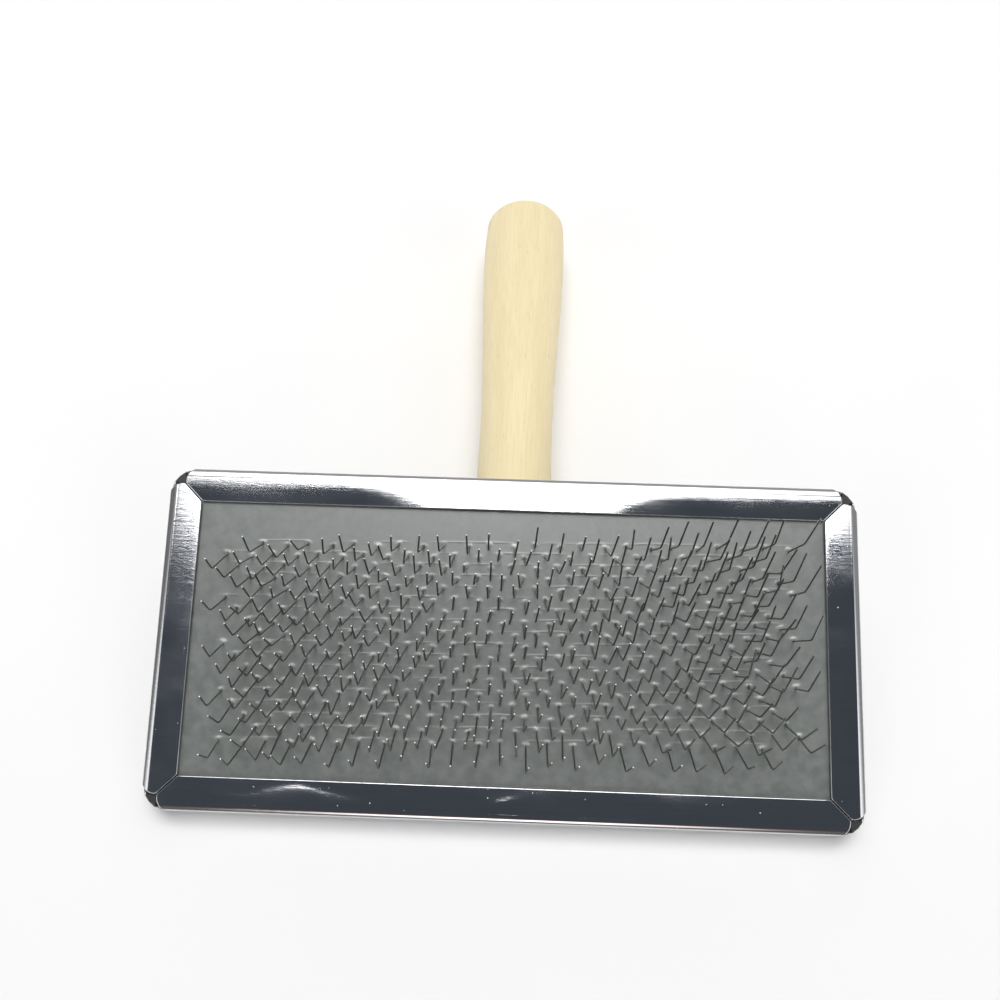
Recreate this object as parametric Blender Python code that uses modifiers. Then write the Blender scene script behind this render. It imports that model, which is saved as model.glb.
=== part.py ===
"""Hand carder with a folded steel head, a card-cloth face of bent pins and a turned handle.

The carder is modelled as it lies on a table, pins up: the head rests on its front lower
edge and the handle on the underside of its far end. Units are metres and +Z is up. The
origin is the bottom centre of the overall box. +X runs along the head's long side and +Y
from the head to the handle's end.

Head pieces are modelled flat in the head frame, an empty in the middle of the back
plate's outer face with its z along the pins, and tilted with it.
"""

import math

import bmesh
import bpy
from mathutils import Matrix, Vector

# ---- driving dimensions -------------------------------------------------------------
OVERALL_LENGTH = 0.1456       # front of the head to the end of the handle, as it lies
HEAD_TILT = math.radians(24.0)
HANDLE_DROP = math.radians(4.0)   # the handle's axis falls this much towards its end
FIT_GAP = 0.0003              # clearance between pieces that touch
MERGE = 0.00001               # points closer than this are one

# head and folded shell
HEAD_WIDTH = 0.120
HEAD_DEPTH = 0.058
HEAD_HEIGHT = 0.0070
SHEET = 0.0004                # sheet steel thickness
LOWER_FOLD = 0.0012           # outer radius where the back plate turns into a wall
UPPER_FOLD = 0.0015           # outer radius where a wall turns into its flange
FLANGE = 0.00575              # width of the folded-over flange, from the outer face
FLANGE_SLOPE = 0.00020        # the flange's inner edge lies this much lower than its ridge
MITRE_GAP = 0.00012           # half of the slit between two flanges at a mitre
FOLD_STEPS = 6
FLANGE_STEPS = 9
CORNER_STEPS = 5

# outline of a flange's end, beyond the mitre: an ellipse that rounds it off
END_CENTRE_IN = 0.0034        # from the flange's inner edge to the ellipse's centre
END_CENTRE_OUT = 0.0009
END_HALF_IN = 0.0025
END_HALF_OUT = 0.0022
WALL_END = 0.0016             # the wall's end, measured the same way as the flange's

# layers inside the shell, each stacked on the last with FIT_GAP between
CORE_FLOOR = 0.0025           # thickness of the core board under its pocket
CORE_CORNER = FLANGE - WALL_END   # the board fills the shell's open corners
CORE_CHAMFER = 0.0002
FOLD_CLEARANCE = 0.0012       # the board is cut back this far beside the shell's folds
BOARD_CORNER_STEPS = 6
ROUND_PROFILE = 0.5           # a bevel whose section is a quarter of a circle
POCKET_MARGIN = 0.0015        # the pocket for the card cloth runs this far under the flanges
POCKET_CORNER = 0.0020
CROWN_SIZE = 0.00036          # section of the wire that joins a row's pins at the back
CLOTH_THICKNESS = 0.0006
RUBBER_THICKNESS = 0.0009

# pins
WIRE_RADIUS = 0.00016
ROWS = 18
STAPLES_PER_ROW = 12
ROW_PITCH = 0.00197
ROW_BOW = 0.0004              # the middle rows lie this much nearer the handle
ROW_DRIFT = 0.00024           # the last row lies this much further along than the middle one
STAPLE_PITCH = 0.0079
ROW_STAGGER = 0.00205         # each row starts this much further along than the last
STAGGER_ROWS = 4              # rows before the stagger starts again
STAPLE_WIDTH = 0.00437        # between a staple's two legs
CLOTH_TWIST = math.radians(1.28)  # the card cloth is set a little askew in the head
CLOTH_CENTRE = (0.00005, 0.00017, 0.0)
KNEE_RISE = 0.0086            # above the rubber's face
KNEE_LEAN = -0.0018           # towards the front of the head
TIP_RISE = 0.0148
TIP_LEAN = 0.0004             # the tip lies this far behind the foot
SLIT_WIDTH = 0.00095

# handle
HANDLE_LENGTH = 0.1182
HANDLE_TURN = math.radians(0.46)  # its axis swings this much towards +X at the end
HANDLE_END_X = 0.0008
END_RADIUS = 0.00927
NECK_RADIUS = 0.00717
CAP_HEIGHT = 0.0046           # the end is a low spherical cap with an eased shoulder
SHOULDER = 0.0006
TAPER_START = 0.0115          # from the end, where the handle starts to thin
NECK_AT = 0.0740              # from the end, where it has stopped thinning
FRONT_ROUND = 0.0030
HANDLE_SIDES = 36
CAP_STEPS = 6
TAPER_STEPS = 8
FRONT_STEPS = 3
SEAT_CUTTER = (0.08, 0.12, 0.05)  # everything above the back plate, where the handle sits

# wood screws
SCREW_RADIUS = 0.0014
SCREW_HEAD_RADIUS = 0.00275
SCREW_HEAD_RIM = 0.0002
SCREW_TIP = 0.0020
SCREW_SIDES = 20
SCREWS = {                    # name: (place along the head's y, depth below the plate)
    "screw_front": (0.0075, 0.0045),
    "screw_rear": (0.0180, 0.0085),
}

# heights of the layers above the back plate's outer face
CORE_BOTTOM = SHEET + FIT_GAP
POCKET_FLOOR = CORE_BOTTOM + CORE_FLOOR
CORE_RIM = HEAD_HEIGHT - FLANGE_SLOPE - SHEET - FIT_GAP
CROWN_BOTTOM = POCKET_FLOOR + FIT_GAP
CLOTH_BOTTOM = CROWN_BOTTOM + CROWN_SIZE + FIT_GAP
CLOTH_TOP = CLOTH_BOTTOM + CLOTH_THICKNESS
RUBBER_BOTTOM = CLOTH_TOP + FIT_GAP
RUBBER_TOP = RUBBER_BOTTOM + RUBBER_THICKNESS


# ---- scene helpers ------------------------------------------------------------------
def clear_scene():
    for item in list(bpy.data.objects):
        bpy.data.objects.remove(item, do_unlink=True)


def new_collection(name):
    collection = bpy.data.collections.new(name)
    bpy.context.scene.collection.children.link(collection)
    return collection


clear_scene()
PARTS = new_collection("hand_carder")
CUTTERS = new_collection("hand_carder_cutters")


def add_object(name, mesh, parent=None, collection=PARTS):
    obj = bpy.data.objects.new(name, mesh)
    obj.parent = parent
    collection.objects.link(obj)
    return obj


def add_empty(name, location, tilt):
    empty = add_object(name, None)
    empty.location = location
    empty.rotation_euler = (tilt, 0.0, 0.0)
    empty.empty_display_size = 0.02
    return empty


def as_cutter(obj):
    obj.hide_render = True
    obj.display_type = "WIRE"
    return obj


def material(name, colour, roughness, metallic=0.0):
    made = bpy.data.materials.new(name)
    made.use_nodes = True
    shader = made.node_tree.nodes["Principled BSDF"]
    shader.inputs["Base Color"].default_value = (*colour, 1.0)
    shader.inputs["Roughness"].default_value = roughness
    shader.inputs["Metallic"].default_value = metallic
    return made


def boolean(target, tool, operation):
    modifier = target.modifiers.new(tool.name, "BOOLEAN")
    modifier.operation = operation
    modifier.solver = "EXACT"
    modifier.object = tool
    return modifier


def evaluated_mesh(obj):
    """The object's mesh as its modifiers leave it, in its own space."""
    graph = bpy.context.evaluated_depsgraph_get()
    return bpy.data.meshes.new_from_object(obj.evaluated_get(graph))


# ---- shared shapes ------------------------------------------------------------------
def box_mesh(name, size, centre):
    mesh = bpy.data.meshes.new(name)
    form = bmesh.new()
    bmesh.ops.create_cube(form, size=1.0)
    bmesh.ops.scale(form, vec=size, verts=form.verts)
    bmesh.ops.translate(form, vec=centre, verts=form.verts)
    form.to_mesh(mesh)
    form.free()
    return mesh


def rounded_slab(name, size, corner, bottom, parent, chamfer=0.0, collection=PARTS):
    """A flat board with rounded corners, from a cube whose upright edges are bevelled."""
    thickness = size[2]
    mesh = bpy.data.meshes.new(name)
    form = bmesh.new()
    bmesh.ops.create_cube(form, size=1.0)
    bmesh.ops.scale(form, vec=size, verts=form.verts)
    bmesh.ops.translate(form, vec=(0.0, 0.0, bottom + thickness / 2), verts=form.verts)
    upright = [e for e in form.edges if abs(e.verts[0].co.z - e.verts[1].co.z) > thickness / 2]
    bmesh.ops.bevel(
        form, geom=upright, offset=corner, segments=BOARD_CORNER_STEPS,
        profile=ROUND_PROFILE, affect="EDGES",
    )
    if chamfer:
        level = [e for e in form.edges if abs(e.verts[0].co.z - e.verts[1].co.z) < thickness / 2]
        bmesh.ops.bevel(form, geom=level, offset=chamfer, segments=1, affect="EDGES")
    form.to_mesh(mesh)
    form.free()
    return add_object(name, mesh, parent, collection)


def turned(name, profile, sides, parent, collection=PARTS):
    """A solid of revolution about local z. The profile runs top to bottom at +x."""
    mesh = bpy.data.meshes.new(name)
    corners = [(radius, 0.0, height) for radius, height in profile]
    mesh.from_pydata(corners, [(i, i + 1) for i in range(len(corners) - 1)], [])
    obj = add_object(name, mesh, parent, collection)
    screw = obj.modifiers.new("turn", "SCREW")
    screw.axis = "Z"
    screw.steps = sides
    screw.render_steps = sides
    screw.use_merge_vertices = True
    screw.merge_threshold = MERGE
    screw.use_normal_calculate = True
    screw.use_smooth_shade = True
    return obj


def arc(centre, radius, start, end, steps):
    """Points on an arc in a plane, from one angle to another."""
    angles = [start + (end - start) * i / steps for i in range(steps + 1)]
    return [
        (centre[0] + radius * math.cos(a), centre[1] + radius * math.sin(a)) for a in angles
    ]


# ---- where the two frames lie -------------------------------------------------------
def head_frame():
    """Lay the head on its front lower fold, with its front at the overall box's front."""
    half = HEAD_DEPTH / 2
    tilt_sin, tilt_cos = math.sin(HEAD_TILT), math.cos(HEAD_TILT)
    height = LOWER_FOLD + (half - LOWER_FOLD) * tilt_sin - LOWER_FOLD * tilt_cos
    upper_fold_y = -(half - UPPER_FOLD) * tilt_cos - (HEAD_HEIGHT - UPPER_FOLD) * tilt_sin
    front = upper_fold_y - UPPER_FOLD
    return add_empty("head_frame", (0.0, -OVERALL_LENGTH / 2 - front, height), HEAD_TILT)


def handle_profile():
    """The handle's outline as (radius, distance from its end), from the front to the end."""
    front_centre = (NECK_RADIUS - FRONT_ROUND, HANDLE_LENGTH - FRONT_ROUND)
    front = arc(front_centre, FRONT_ROUND, math.pi / 2, 0.0, FRONT_STEPS)
    taper = []
    for step in range(TAPER_STEPS + 1):
        part = step / TAPER_STEPS
        ease = part * part * (3 - 2 * part)
        radius = NECK_RADIUS + (END_RADIUS - NECK_RADIUS) * ease
        taper.append((radius, NECK_AT + (TAPER_START - NECK_AT) * part))
    cap_edge = END_RADIUS - SHOULDER
    ball = (cap_edge ** 2 + CAP_HEIGHT ** 2) / (2 * CAP_HEIGHT)
    widest = math.asin(cap_edge / ball)
    cap = []
    for step in range(CAP_STEPS, 0, -1):
        angle = widest * step / CAP_STEPS
        cap.append((ball * math.sin(angle), ball * (1 - math.cos(angle))))
    shoulder = (END_RADIUS - SHOULDER / 4, CAP_HEIGHT + SHOULDER)
    return [(0.0, HANDLE_LENGTH), *front, *taper, shoulder, *cap, (0.0, 0.0)]


def handle_frame(profile):
    """Lay the handle on its fat end, which reaches the back of the overall box."""
    drop_sin, drop_cos = math.sin(HANDLE_DROP), math.cos(HANDLE_DROP)
    lowest = min(along * drop_sin - radius * drop_cos for radius, along in profile)
    furthest = max(radius * drop_sin - along * drop_cos for radius, along in profile)
    place = (HANDLE_END_X, OVERALL_LENGTH / 2 - furthest, -lowest)
    frame = add_empty("handle_frame", place, math.pi / 2 - HANDLE_DROP)
    frame.rotation_euler.z = -HANDLE_TURN
    return frame


# ---- steel shell --------------------------------------------------------------------
def flange_reach(inward):
    """How far a flange's end runs past the opening's corner, at a distance from its inner edge."""
    across = min(1.0, abs(inward - END_CENTRE_IN) / END_HALF_IN)
    rounded = END_CENTRE_OUT + END_HALF_OUT * math.sqrt(1.0 - across * across)
    if inward < END_CENTRE_IN:
        return min(inward - MITRE_GAP, rounded)
    return rounded


def fold_profile():
    """A side's section from the back plate to the flange's edge.

    Each point is (how far inside the outer face, height, how far inside the corner it ends).
    """
    points = []
    lower = arc((LOWER_FOLD, LOWER_FOLD), LOWER_FOLD, 1.5 * math.pi, math.pi, FOLD_STEPS)
    for inset, height in lower:
        points.append((inset, height, FLANGE - WALL_END))
    upper_centre = (UPPER_FOLD, HEAD_HEIGHT - UPPER_FOLD)
    for inset, height in arc(upper_centre, UPPER_FOLD, math.pi, math.pi / 2, FOLD_STEPS):
        points.append((inset, height, FLANGE - flange_reach(FLANGE - inset)))
    for step in range(1, FLANGE_STEPS + 1):
        part = step / FLANGE_STEPS
        inset = UPPER_FOLD + (FLANGE - UPPER_FOLD) * part
        height = HEAD_HEIGHT - FLANGE_SLOPE * part * part
        points.append((inset, height, FLANGE - flange_reach(FLANGE - inset)))
    return points


def make_shell(parent):
    """One folded sheet: a back plate and four sides, as an open surface given a thickness."""
    form = bmesh.new()
    half = (HEAD_WIDTH / 2, HEAD_DEPTH / 2)
    rim = []
    for turn in range(4):
        # turn 0 is the handle's side; the rest follow anticlockwise seen from the pins
        out_half, along_half = (half[1], half[0]) if turn % 2 == 0 else (half[0], half[1])
        outward = Vector((-math.sin(turn * math.pi / 2), math.cos(turn * math.pi / 2), 0.0))
        along = Vector((-outward.y, outward.x, 0.0))
        last = None
        for inset, height, short in fold_profile():
            foot = outward * (out_half - inset) + Vector((0.0, 0.0, height))
            reach = along * (along_half - short)
            pair = (form.verts.new(foot - reach), form.verts.new(foot + reach))
            if last:
                form.faces.new((last[1], last[0], pair[0], pair[1]))
            else:
                rim.append((turn, pair))
            last = pair
    outline = []
    corner = FLANGE - WALL_END - LOWER_FOLD
    for turn, pair in rim:
        outline.extend(pair)
        centre = (
            (half[0] - LOWER_FOLD - corner) * (-1 if turn in (0, 1) else 1),
            (half[1] - LOWER_FOLD - corner) * (1 if turn in (0, 3) else -1),
        )
        start = math.pi / 2 * (turn + 1)
        for x, y in arc(centre, corner, start, start + math.pi / 2, CORNER_STEPS)[1:-1]:
            outline.append(form.verts.new((x, y, 0.0)))
    form.faces.new(outline)
    bmesh.ops.recalc_face_normals(form, faces=form.faces)
    mesh = bpy.data.meshes.new("steel_shell")
    form.to_mesh(mesh)
    form.free()
    shell = add_object("steel_shell", mesh, parent)
    solidify = shell.modifiers.new("sheet", "SOLIDIFY")
    solidify.thickness = SHEET
    solidify.offset = -1.0
    solidify.use_even_offset = True
    return shell


# ---- layers, pins and screws --------------------------------------------------------
def pocket_size(margin, thickness):
    """The card cloth's pocket, drawn in all round by a margin."""
    inset = 2 * (FLANGE - POCKET_MARGIN + margin)
    return (HEAD_WIDTH - inset, HEAD_DEPTH - inset, thickness)


def relief_cutter(name, depth, low, high, end_gap, parent):
    """Four bars that cut the board back by a depth along its sides, short of its corners."""
    form = bmesh.new()
    for turn in range(4):
        out_half, along_half = (HEAD_DEPTH / 2, HEAD_WIDTH / 2)
        if turn % 2:
            out_half, along_half = along_half, out_half
        length = 2 * (along_half - end_gap)
        made = bmesh.ops.create_cube(form, size=1.0)["verts"]
        bmesh.ops.scale(form, vec=(length, 2 * depth, high - low), verts=made)
        bmesh.ops.translate(form, vec=(0.0, out_half, (low + high) / 2), verts=made)
        spin = Matrix.Rotation(turn * math.pi / 2, 3, "Z")
        bmesh.ops.rotate(form, cent=(0.0, 0.0, 0.0), matrix=spin, verts=made)
    mesh = bpy.data.meshes.new(name)
    form.to_mesh(mesh)
    form.free()
    return as_cutter(add_object(name, mesh, parent, CUTTERS))


def make_reliefs(parent):
    """Room in the board's sides for the shell's walls, its lower folds and its upper folds."""
    below, above = CORE_BOTTOM - FIT_GAP, HEAD_HEIGHT
    wall_end = CORE_CORNER - FIT_GAP
    flange_end = FLANGE - END_CENTRE_OUT - END_HALF_OUT - FIT_GAP
    lower_top, upper_bottom = LOWER_FOLD, HEAD_HEIGHT - UPPER_FOLD
    return [
        relief_cutter("relief_wall", SHEET + FIT_GAP, below, above, wall_end, parent),
        relief_cutter("relief_lower", FOLD_CLEARANCE, below, lower_top, wall_end, parent),
        relief_cutter("relief_upper", FOLD_CLEARANCE, upper_bottom, above, flange_end, parent),
    ]


def make_core(parent):
    """A board that fills the shell, with a pocket for the card cloth in its face."""
    size = (HEAD_WIDTH, HEAD_DEPTH, CORE_RIM - CORE_BOTTOM)
    core = rounded_slab("core_board", size, CORE_CORNER, CORE_BOTTOM, parent, CORE_CHAMFER)
    for relief in make_reliefs(parent):
        boolean(core, relief, "DIFFERENCE")
    size = pocket_size(0.0, HEAD_HEIGHT - POCKET_FLOOR)
    pocket = rounded_slab(
        "core_pocket", size, POCKET_CORNER, POCKET_FLOOR, parent, collection=CUTTERS
    )
    boolean(core, as_cutter(pocket), "DIFFERENCE")
    return core


def make_layer(name, bottom, thickness, parent):
    size = pocket_size(FIT_GAP, thickness)
    return rounded_slab(name, size, POCKET_CORNER - FIT_GAP, bottom, parent)


def row_places():
    """For each row: the x of its pins and its y, in the card cloth's own frame."""
    span = (STAGGER_ROWS - 1) * ROW_STAGGER + (STAPLES_PER_ROW - 1) * STAPLE_PITCH + STAPLE_WIDTH
    half = (ROWS - 1) / 2
    rows = []
    for row in range(ROWS):
        down = (row - half) / half
        # the first row is the last of a repeat
        shift = ((row + STAGGER_ROWS - 1) % STAGGER_ROWS) * ROW_STAGGER + ROW_DRIFT * down
        feet = []
        for staple in range(STAPLES_PER_ROW):
            left = shift + staple * STAPLE_PITCH - span / 2
            feet.extend((left, left + STAPLE_WIDTH))
        rows.append((feet, (half - row) * ROW_PITCH + ROW_BOW * (1 - down * down)))
    return rows


def make_cloth_frame(parent):
    frame = add_object("cloth_frame", None, parent)
    frame.location = CLOTH_CENTRE
    frame.rotation_euler = (0.0, 0.0, CLOTH_TWIST)
    frame.empty_display_size = 0.01
    return frame


def leg_points(x, y):
    """The corners of one pin: its foot in the crown wire, its knee and its tip."""
    foot_height = CROWN_BOTTOM + CROWN_SIZE / 2
    lean = KNEE_LEAN / (RUBBER_TOP + KNEE_RISE - foot_height)
    foot_y = y - lean * (RUBBER_TOP - foot_height)
    return (
        (x, foot_y, foot_height),
        (x, y + KNEE_LEAN * KNEE_RISE / (RUBBER_TOP + KNEE_RISE - foot_height),
         RUBBER_TOP + KNEE_RISE),
        (x, y + TIP_LEAN, RUBBER_TOP + TIP_RISE),
    )


def make_pin_row(name, feet, y, parent):
    """A row's pins as one wire curve, made a mesh and joined to its crown wire."""
    curve = bpy.data.curves.new(name, "CURVE")
    curve.dimensions = "3D"
    curve.bevel_depth = WIRE_RADIUS
    curve.bevel_resolution = 0
    curve.use_fill_caps = True
    for x in feet:
        points = leg_points(x, y)
        spline = curve.splines.new("POLY")
        spline.points.add(len(points) - 1)
        for point, place in zip(spline.points, points):
            point.co = (*place, 1.0)
    wires = add_object(name + "_wires", curve, parent)
    mesh = evaluated_mesh(wires)
    bpy.data.objects.remove(wires, do_unlink=True)
    form = bmesh.new()
    form.from_mesh(mesh)
    bmesh.ops.remove_doubles(form, verts=form.verts, dist=MERGE)
    form.to_mesh(mesh)
    form.free()
    row = add_object(name, mesh, parent)
    foot = leg_points(0.0, y)[0]
    length = feet[-1] - feet[0] + 2 * CROWN_SIZE
    centre = ((feet[0] + feet[-1]) / 2, foot[1], foot[2])
    crown_mesh = box_mesh(name + "_crown", (length, CROWN_SIZE, CROWN_SIZE), centre)
    crown = as_cutter(add_object(name + "_crown", crown_mesh, parent, CUTTERS))
    boolean(row, crown, "UNION")
    return row


def make_slits(parent):
    """One cutter for each row, leaning with its pins, through the cloth and the rubber."""
    slits = []
    lean = math.atan2(KNEE_LEAN, RUBBER_TOP + KNEE_RISE - CROWN_BOTTOM)
    middle = (CLOTH_BOTTOM + RUBBER_TOP) / 2
    foot_height = CROWN_BOTTOM + CROWN_SIZE / 2
    for number, (feet, y) in enumerate(row_places(), 1):
        size = (feet[-1] - feet[0] + 2 * SLIT_WIDTH, SLIT_WIDTH, 2 * (RUBBER_TOP - CLOTH_BOTTOM))
        mesh = box_mesh(f"slit_{number:02d}", size, (0.0, 0.0, 0.0))
        slit = as_cutter(add_object(f"slit_{number:02d}", mesh, parent, CUTTERS))
        foot, knee = leg_points(0.0, y)[:2]
        part = (middle - foot_height) / (knee[2] - foot_height)
        slit.location = ((feet[0] + feet[-1]) / 2, foot[1] + (knee[1] - foot[1]) * part, middle)
        slit.rotation_euler = (-lean, 0.0, 0.0)
        slits.append(slit)
    return slits


def screw_profile(depth, grow):
    """A countersunk screw's outline, top to bottom, grown all round for its hole."""
    top = POCKET_FLOOR + grow
    head = SCREW_HEAD_RADIUS + grow
    shank = SCREW_RADIUS + grow
    rim = POCKET_FLOOR - SCREW_HEAD_RIM
    cone = rim - (SCREW_HEAD_RADIUS - SCREW_RADIUS)
    return [
        (0.0, top), (head, top), (head, rim), (shank, cone),
        (shank, SCREW_TIP - depth), (0.0, -depth - grow),
    ]


def make_screws(parent, targets):
    screws = []
    for name, (y, depth) in SCREWS.items():
        screw = turned(name, screw_profile(depth, 0.0), SCREW_SIDES, parent)
        hole = turned(name + "_hole", screw_profile(depth, FIT_GAP), SCREW_SIDES, parent, CUTTERS)
        screw.location = hole.location = (0.0, y, 0.0)
        as_cutter(hole)
        for target in targets:
            boolean(target, hole, "DIFFERENCE")
        screws.append(screw)
    return screws


# ---- handle -------------------------------------------------------------------------
def make_handle(head, frame, profile):
    """Turned handle, cut slanting where it sits against the back plate."""
    handle = turned("handle", profile, HANDLE_SIDES, frame)
    mesh = box_mesh("handle_seat", SEAT_CUTTER, (0.0, 0.0, SEAT_CUTTER[2] / 2 - FIT_GAP))
    seat = as_cutter(add_object("handle_seat", mesh, head, CUTTERS))
    boolean(handle, seat, "DIFFERENCE")
    return handle


def build():
    steel = material("stainless_steel", (0.62, 0.63, 0.65), 0.18, 1.0)
    wire = material("pin_wire", (0.40, 0.41, 0.40), 0.30, 1.0)
    rubber = material("grey_rubber", (0.25, 0.28, 0.26), 0.60)
    board = material("black_board", (0.02, 0.02, 0.02), 0.50)
    cloth = material("cotton_cloth", (0.60, 0.57, 0.48), 0.90)
    wood = material("pale_wood", (0.85, 0.73, 0.47), 0.45)
    zinc = material("zinc_screw", (0.55, 0.54, 0.50), 0.35, 1.0)

    head = head_frame()
    profile = handle_profile()
    handle = make_handle(head, handle_frame(profile), profile)
    shell = make_shell(head)

    core = make_core(head)
    screws = make_screws(head, (handle, shell, core))

    cloth_layer = make_layer("cloth_foundation", CLOTH_BOTTOM, CLOTH_THICKNESS, head)
    rubber_layer = make_layer("rubber_facing", RUBBER_BOTTOM, RUBBER_THICKNESS, head)
    cloth_frame = make_cloth_frame(head)
    for slit in make_slits(cloth_frame):
        boolean(cloth_layer, slit, "DIFFERENCE")
        boolean(rubber_layer, slit, "DIFFERENCE")
    rows = [
        make_pin_row(f"pin_row_{number:02d}", feet, y, cloth_frame)
        for number, (feet, y) in enumerate(row_places(), 1)
    ]

    finishes = [(handle, wood), (shell, steel), (core, board), (cloth_layer, cloth)]
    finishes += [(rubber_layer, rubber)]
    finishes += [(row, wire) for row in rows] + [(screw, zinc) for screw in screws]
    for obj, finish in finishes:
        obj.data.materials.append(finish)


build()
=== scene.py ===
"""The looks of the hand carder: a folded steel head, a rubber face set with bent pins and a
turned wooden handle.

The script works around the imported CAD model, in metres, +Z up, with its origin at the bottom
centre of the box. Head pieces are made flat in the head frame (x along the head, y towards
the handle, z along the pins, origin in the middle of the back plate's outer face), and
handle pieces in the handle frame (origin at its far end, z towards the head).
"""

import math
import random

import bmesh
import bpy
import numpy as np
from mathutils import Matrix, Vector


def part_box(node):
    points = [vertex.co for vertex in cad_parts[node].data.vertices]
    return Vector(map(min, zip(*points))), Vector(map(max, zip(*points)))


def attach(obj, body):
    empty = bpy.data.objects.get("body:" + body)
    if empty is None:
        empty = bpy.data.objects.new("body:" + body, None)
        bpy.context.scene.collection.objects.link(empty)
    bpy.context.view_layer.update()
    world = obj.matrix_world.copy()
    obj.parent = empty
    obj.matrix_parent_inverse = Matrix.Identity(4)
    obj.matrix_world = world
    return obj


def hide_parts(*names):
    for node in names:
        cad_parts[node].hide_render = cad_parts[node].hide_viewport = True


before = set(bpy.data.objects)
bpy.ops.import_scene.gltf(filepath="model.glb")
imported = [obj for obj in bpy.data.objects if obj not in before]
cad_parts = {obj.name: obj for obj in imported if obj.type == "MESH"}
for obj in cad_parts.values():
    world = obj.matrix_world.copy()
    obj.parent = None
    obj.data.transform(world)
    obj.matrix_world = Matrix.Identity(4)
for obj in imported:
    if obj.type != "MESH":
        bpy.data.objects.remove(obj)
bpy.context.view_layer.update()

# ---- dimensions shared with the CAD -------------------------------------------------
HEAD_TILT = math.radians(24.0)
HANDLE_DROP = math.radians(4.0)
HANDLE_TURN = math.radians(0.46)
HANDLE_END_X = 0.0008
FIT_GAP = 0.0003

HEAD_WIDTH = 0.120
HEAD_DEPTH = 0.058
HEAD_HEIGHT = 0.0070
SHEET = 0.0004
LOWER_FOLD = 0.0012
UPPER_FOLD = 0.0015
FLANGE = 0.00575
MITRE_GAP = 0.00012
END_CENTRE_IN = 0.0034
END_CENTRE_OUT = 0.0009
END_HALF_IN = 0.0025
END_HALF_OUT = 0.0022
WALL_END = 0.0016

CORE_FLOOR = 0.0025
POCKET_MARGIN = 0.0015
CROWN_SIZE = 0.00036
CLOTH_THICKNESS = 0.0006
RUBBER_THICKNESS = 0.0009
POCKET_FLOOR = SHEET + FIT_GAP + CORE_FLOOR
CROWN_BOTTOM = POCKET_FLOOR + FIT_GAP
RUBBER_BOTTOM = CROWN_BOTTOM + CROWN_SIZE + FIT_GAP + CLOTH_THICKNESS + FIT_GAP
RUBBER_TOP = RUBBER_BOTTOM + RUBBER_THICKNESS

ROWS = 18
STAPLES_PER_ROW = 12
ROW_PITCH = 0.00197
ROW_BOW = 0.0004
ROW_DRIFT = 0.00024
STAPLE_PITCH = 0.0079
ROW_STAGGER = 0.00205
STAGGER_ROWS = 4
STAPLE_WIDTH = 0.00437
CLOTH_TWIST = math.radians(1.28)
CLOTH_CENTRE = (0.00005, 0.00017, 0.0)

HANDLE_LENGTH = 0.1182
END_RADIUS = 0.00927
NECK_RADIUS = 0.00717
CAP_HEIGHT = 0.0046
SHOULDER = 0.0006
TAPER_START = 0.0115
NECK_AT = 0.0740
FRONT_ROUND = 0.0030

# ---- fine detail that only the looks have -------------------------------------------
FOLD_STEPS = 14
FLANGE_STEPS = 22
SIDE_STATIONS = 96            # stations along a side of the shell
FLANGE_SAG = 0.00020          # how far a flange's inner edge lies below its ridge
SPRUNG_OFFSET = 0.001         # the handle side's flange is sprung up around this x
SPRUNG_NEAR = 0.015           # fully up to this far from there
SPRUNG_FAR = 0.030            # and not at all beyond this far
SPRUNG_SAG = 0.25             # sags as shares of FLANGE_SAG
RIGHT_END_SAG = 1.05           # the share at the end that lies towards +x
FRONT_SAG = 0.85
PRESSED_SAG = 0.35            # added where the front flange is pressed down
PRESSED_AT = 0.027
PRESSED_REACH = 0.008
BEND = 0.00042                # outer radius of the tight bend from a wall into its flange
BAND_TILT = math.radians(24.0)    # past the bend the sheet rises in a band, steep at first
BAND_DROP = 0.00020
BAND_STEPS = 10
CREASE_INSET = 0.00135        # a faint crease runs where the band ends
CREASE_DEPTH = 0.000008
CREASE_HALF = 0.00010
EDGE_BEVEL = 0.00017          # the sheet's cut edges are rounded this much
DENT_INSET = 0.0045           # hollows pressed into the front flange, along its middle
DENT_HALF = 0.0010
DENT_DEPTH = 0.000087
DENT_WANDER = 0.0008          # a hollow's middle line weaves this far
DENT_WANDER_LENGTH = 0.0031
DENTS = ((-0.0325, 0.0150, 1.0), (0.0000, 0.0026, 0.9))    # centre, reach, share of depth

GRID_X = 0.00015              # spacing of the rubber face's points
GRID_Y = 0.00012
RUBBER_CORNER = 0.0009
LEG_SKEW = 0.0004             # a staple's right leg stands this much nearer the front
MARK_REACH = 0.002            # a wire marks the rubber this far round
SLIT_HALF = (0.00013, 0.00030)    # the slit that a wire leaves open on its handle side
SLIT_BACK = 0.00022
SLIT_DEPTH = 0.0006
LIP_RING = 0.00040
LIP_HALF = 0.00012
LIP_RISE = 0.00005
WHITENING_AND_GLINT_BACK = 0.00062          # whitened rubber, with painted glints on it, lies this far behind a wire
WIRE_RADIUS = 0.00015
WIRE_SIDES = 10
END_EASE = ((0.0, 0.62), (0.25, 0.92), (0.6, 1.0))    # (distance, radius) in wire radii
END_STRAIGHT = 0.00030        # a ring this far from an end keeps the wire straight there
GLINT_STEPS = 1              # steps next to an end that carry the painted glint
KNEE_REACH = (0.0006, 0.0011)     # a knee's bend starts this far from its corner
CROWN_REACH = 0.00045
BEND_STEPS = 5

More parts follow.
